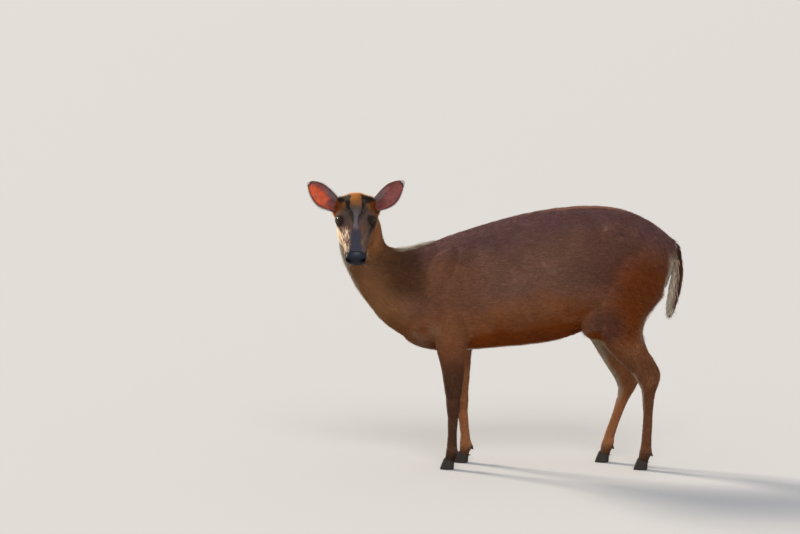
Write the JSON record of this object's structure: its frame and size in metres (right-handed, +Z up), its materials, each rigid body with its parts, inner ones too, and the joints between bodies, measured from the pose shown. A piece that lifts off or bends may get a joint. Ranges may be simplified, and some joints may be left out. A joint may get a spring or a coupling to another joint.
{
  "type": "muntjac",
  "caption": "Life-size standing female muntjac, a small deer without antlers, side on with its head turned to look over its left side.",
  "frame": {"origin": "on the ground, under the middle of the animal's bounding box", "axes": "+Z up, +X towards the rump, +Y towards the animal's right side; the animal stands facing -X and looks along -Y"},
  "size_m": [0.8664, 0.2544, 0.6756],
  "materials": {
    "coat": "short reddish-brown fur, greyer on the neck and legs, white inside the tail",
    "face_coat": "short grey-brown fur with black lines on the forehead",
    "ear_skin": "thin pinkish skin with sparse pale hairs",
    "nose_leather": "moist black nose pad",
    "eye": "wet, very dark brown",
    "claw_horn": "satin black horn"
  },
  "bodies": {
    "root": {"neck": "coat", "torso_front": "coat", "torso_middle": "coat", "torso_rear": "coat", "foreleg_left_upper": "coat", "foreleg_left_lower": "coat", "foreleg_right_upper": "coat", "foreleg_right_lower": "coat", "hindleg_left_upper": "coat", "hindleg_left_lower": "coat", "hindleg_right_upper": "coat", "hindleg_right_lower": "coat", "tail": "coat", "head": "face_coat", "ear_left": "ear_skin", "ear_right": "ear_skin", "nose": "nose_leather", "eye_left": "eye", "eye_right": "eye", "claw_fore_left_a": "claw_horn", "claw_fore_left_b": "claw_horn", "claw_fore_right_a": "claw_horn", "claw_fore_right_b": "claw_horn", "claw_hind_left_a": "claw_horn", "claw_hind_left_b": "claw_horn", "claw_hind_right_a": "claw_horn", "claw_hind_right_b": "claw_horn"}
  },
  "joints": []
}
